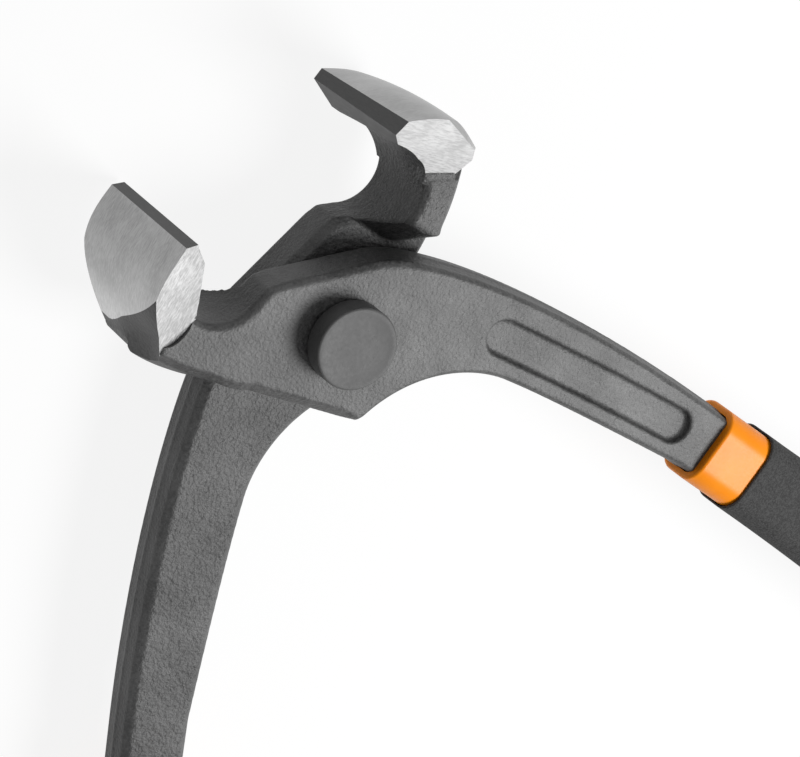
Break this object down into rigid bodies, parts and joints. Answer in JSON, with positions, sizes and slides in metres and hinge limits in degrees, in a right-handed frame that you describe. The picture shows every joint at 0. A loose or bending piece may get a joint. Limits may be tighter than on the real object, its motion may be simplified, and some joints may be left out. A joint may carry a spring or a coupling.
{
  "type": "concreters nippers",
  "caption": "End-cutting concreters nippers with crossed forged levers on a rivet, broad ground jaws and long handles in layered soft grips, for twisting and cutting tie wire.",
  "frame": {"origin": "middle of the rivet's rear flat face, on the pivot axis", "axes": "+Z along the pivot axis towards the front lever's plate, +Y towards the jaws half way between them, +X towards the front lever's handle"},
  "size_m": [0.247, 0.2114, 0.0262],
  "materials": {
    "forged_steel": "dark sandblasted forging with bright ground jaws",
    "rivet_steel": "dark satin",
    "orange_plastic": "smooth, slightly glossy",
    "dark_rubber": "fine sandy grain, matt"
  },
  "bodies": {
    "rear_half": {"rear_lever": "forged_steel", "pivot_rivet": "rivet_steel", "rear_grip_sleeve": "orange_plastic", "rear_grip_cover": "dark_rubber"},
    "front_half": {"front_lever": "forged_steel", "front_grip_sleeve": "orange_plastic", "front_grip_cover": "dark_rubber"}
  },
  "joints": [
    {"name": "pivot", "type": "hinge", "parent": "rear_half", "child": "front_half", "pos_m": [0, 0, 0.01065], "axis": [0, 0, 1], "range_deg": [-58.4, 7]}
  ]
}
